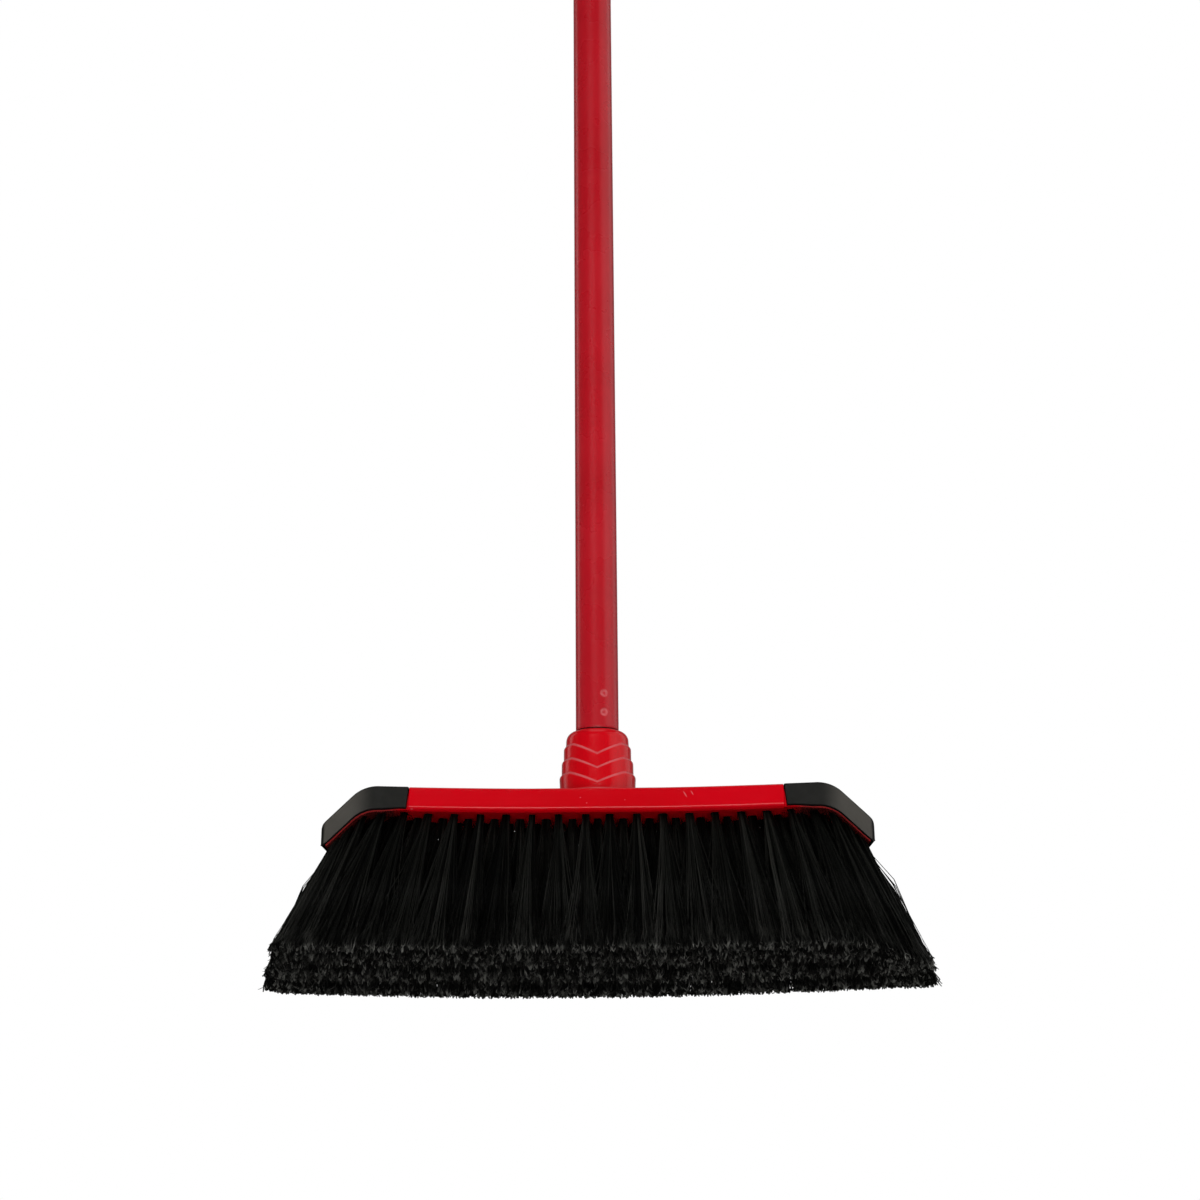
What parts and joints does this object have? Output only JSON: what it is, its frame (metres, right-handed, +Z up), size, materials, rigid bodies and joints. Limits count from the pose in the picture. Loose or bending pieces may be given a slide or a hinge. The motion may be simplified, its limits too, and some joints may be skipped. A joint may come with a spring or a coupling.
{
  "type": "push broom",
  "caption": "Household push broom: an arched brush head with rubber end bumpers and a stepped screw socket, on a long crimped tube handle that hangs from a slotted cap.",
  "frame": {"origin": "centre of the upper end of the hanger cap's slot, where a hook holds the broom", "axes": "+Z up along the handle, -Y the front of the head, whose bristles are the shortest, +X to the right seen from the front"},
  "size_m": [0.3512, 0.0762, 1.3703],
  "materials": {
    "hanger_plastic": "satin",
    "handle_paint": "satin",
    "insert_plastic": "matte",
    "block_plastic": "gloss",
    "bumper_rubber": "matte",
    "bristle": "satin"
  },
  "bodies": {
    "cap": {"hanger_cap": "hanger_plastic"},
    "handle": {"handle_tube": "handle_paint", "thread_insert": "insert_plastic"},
    "head": {"brush_block": "block_plastic", "bumper_left": "bumper_rubber", "bumper_right": "bumper_rubber", "bristle_row_1": "bristle", "bristle_row_2": "bristle", "bristle_row_3": "bristle", "bristle_row_4": "bristle"}
  },
  "joints": [
    {"name": "handle_turn", "type": "hinge", "parent": "cap", "child": "handle", "pos_m": [0, 0, -0.0243], "axis": [0, 0, 1], "range_deg": [0, 1800]},
    {"name": "head_travel", "type": "slide", "parent": "cap", "child": "head", "axis": [0, 0, -1], "range_m": [0, 0.025]}
  ],
  "couplings": [
    {"joint": "handle_turn", "follows": "head_travel", "rad_per_m": 1256.6}
  ]
}
